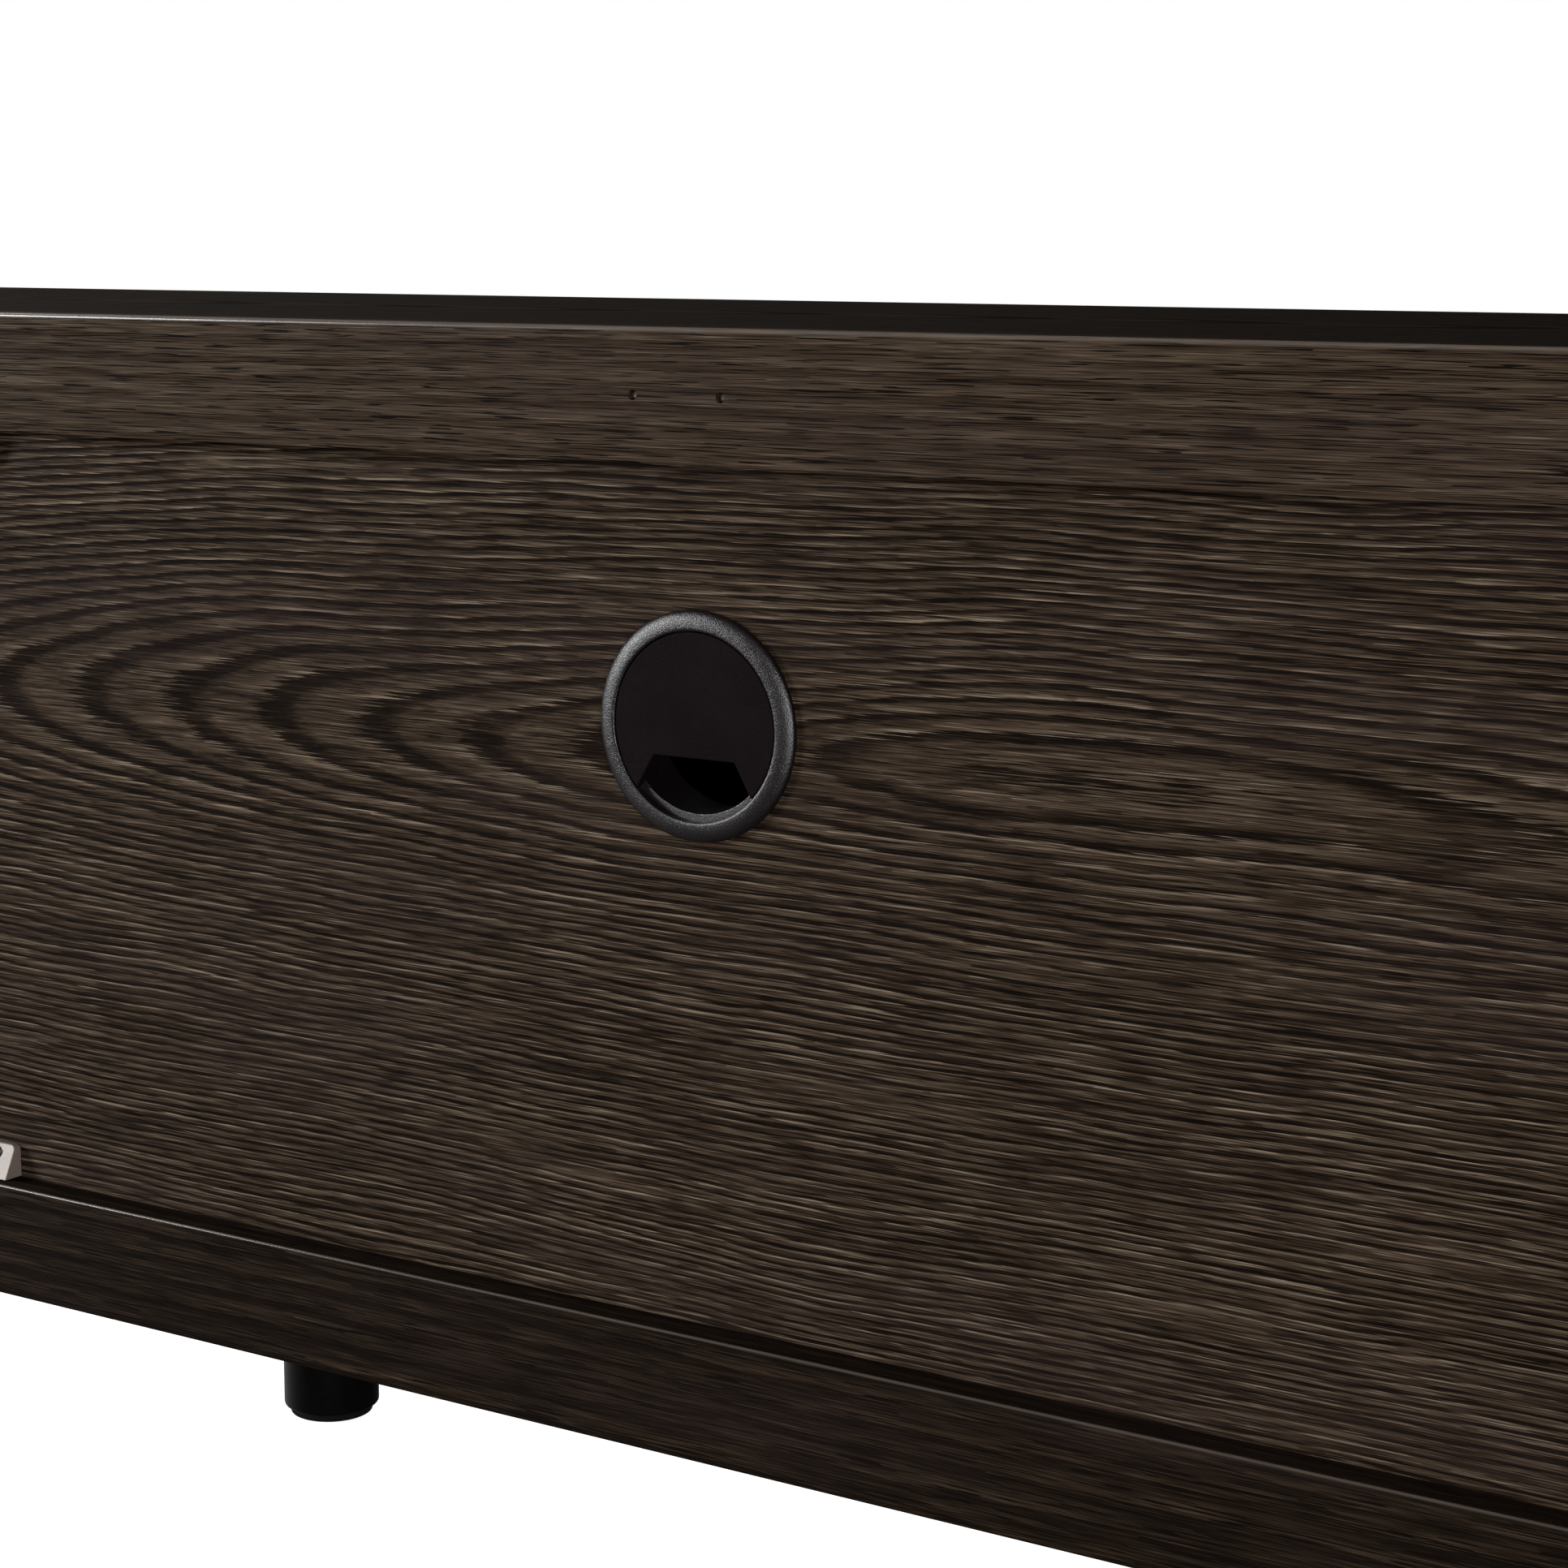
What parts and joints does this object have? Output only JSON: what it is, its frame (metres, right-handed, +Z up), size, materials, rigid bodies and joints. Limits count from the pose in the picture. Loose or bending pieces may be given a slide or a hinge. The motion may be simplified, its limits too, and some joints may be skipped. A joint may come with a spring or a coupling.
{
  "type": "console table",
  "caption": "Low oak media console: mitred case on round black legs, inset pivot doors, recessed back with turning cable grommets.",
  "frame": {"origin": "on the floor, under the middle of the case", "axes": "+X along the length, to the right for someone facing the doors; -Y is the front with the doors and +Y the back with the grommets; +Z up"},
  "size_m": [1.25, 0.368, 0.444],
  "materials": {
    "oak_solid": "dark stained, wire brushed, open pore matt lacquer",
    "oak_veneer": "dark stained, wire brushed flat-sawn veneer, matt",
    "black_lacquer": "gloss black powder coat",
    "black_plastic": "fine moulded grain",
    "black_metal": "satin black",
    "grey_clip": "smooth moulded",
    "zinc_steel": "zinc plated",
    "foot_pad": "matt"
  },
  "bodies": {
    "case": {"back_clip_bottom": "grey_clip", "back_clip_screw_bottom": "zinc_steel", "back_clip_screw_top": "zinc_steel", "back_clip_top": "grey_clip", "back_panel": "oak_veneer", "bottom_board": "oak_solid", "brad_1": "zinc_steel", "brad_2": "zinc_steel", "brad_3": "zinc_steel", "brad_4": "zinc_steel", "door_catch_left": "black_plastic", "door_catch_right": "black_plastic", "grommet_ring_left": "black_plastic", "grommet_ring_right": "black_plastic", "leg_centre": "black_lacquer", "leg_front_left": "black_lacquer", "leg_front_right": "black_lacquer", "leg_rear_left": "black_lacquer", "leg_rear_right": "black_lacquer", "pad_centre": "foot_pad", "pad_front_left": "foot_pad", "pad_front_right": "foot_pad", "pad_rear_left": "foot_pad", "pad_rear_right": "foot_pad", "partition": "oak_solid", "pivot_left_inner_bottom": "zinc_steel", "pivot_left_inner_top": "zinc_steel", "pivot_left_outer_bottom": "zinc_steel", "pivot_left_outer_top": "zinc_steel", "pivot_right_inner_bottom": "zinc_steel", "pivot_right_inner_top": "zinc_steel", "pivot_right_outer_bottom": "zinc_steel", "pivot_right_outer_top": "zinc_steel", "rear_rail_bottom": "oak_solid", "rear_rail_left": "oak_solid", "rear_rail_right": "oak_solid", "rear_rail_top": "oak_solid", "shelf_left": "oak_veneer", "shelf_pin_left_front_inner": "zinc_steel", "shelf_pin_left_front_outer": "zinc_steel", "shelf_pin_left_rear_inner": "zinc_steel", "shelf_pin_left_rear_outer": "zinc_steel", "shelf_pin_right_front_inner": "zinc_steel", "shelf_pin_right_front_outer": "zinc_steel", "shelf_pin_right_rear_inner": "zinc_steel", "shelf_pin_right_rear_outer": "zinc_steel", "shelf_right": "oak_veneer", "side_left": "oak_solid", "side_right": "oak_solid", "top_board": "oak_solid"},
    "door_left_outer": {"door_left_outer": "oak_solid", "knob_left_outer": "black_metal"},
    "door_left_inner": {"door_left_inner": "oak_solid", "knob_left_inner": "black_metal"},
    "door_right_inner": {"door_right_inner": "oak_solid", "knob_right_inner": "black_metal"},
    "door_right_outer": {"door_right_outer": "oak_solid", "knob_right_outer": "black_metal"},
    "grommet_cap_left": {"grommet_cap_left": "black_plastic"},
    "grommet_cap_right": {"grommet_cap_right": "black_plastic"}
  },
  "joints": [
    {"name": "door_left_outer_swing", "type": "hinge", "parent": "case", "child": "door_left_outer", "pos_m": [-0.571, -0.164, 0.272], "axis": [0, 0, -1], "range_deg": [0, 90]},
    {"name": "door_left_inner_swing", "type": "hinge", "parent": "case", "child": "door_left_inner", "pos_m": [-0.023, -0.164, 0.272], "axis": [0, 0, 1], "range_deg": [0, 90]},
    {"name": "door_right_inner_swing", "type": "hinge", "parent": "case", "child": "door_right_inner", "pos_m": [0.023, -0.164, 0.272], "axis": [0, 0, -1], "range_deg": [0, 90]},
    {"name": "door_right_outer_swing", "type": "hinge", "parent": "case", "child": "door_right_outer", "pos_m": [0.571, -0.164, 0.272], "axis": [0, 0, 1], "range_deg": [0, 90]},
    {"name": "grommet_cap_left_turn", "type": "hinge", "parent": "case", "child": "grommet_cap_left", "pos_m": [-0.297, 0.172, 0.3256], "axis": [0, 1, 0], "continuous": true},
    {"name": "grommet_cap_right_turn", "type": "hinge", "parent": "case", "child": "grommet_cap_right", "pos_m": [0.297, 0.172, 0.3256], "axis": [0, 1, 0], "continuous": true}
  ]
}
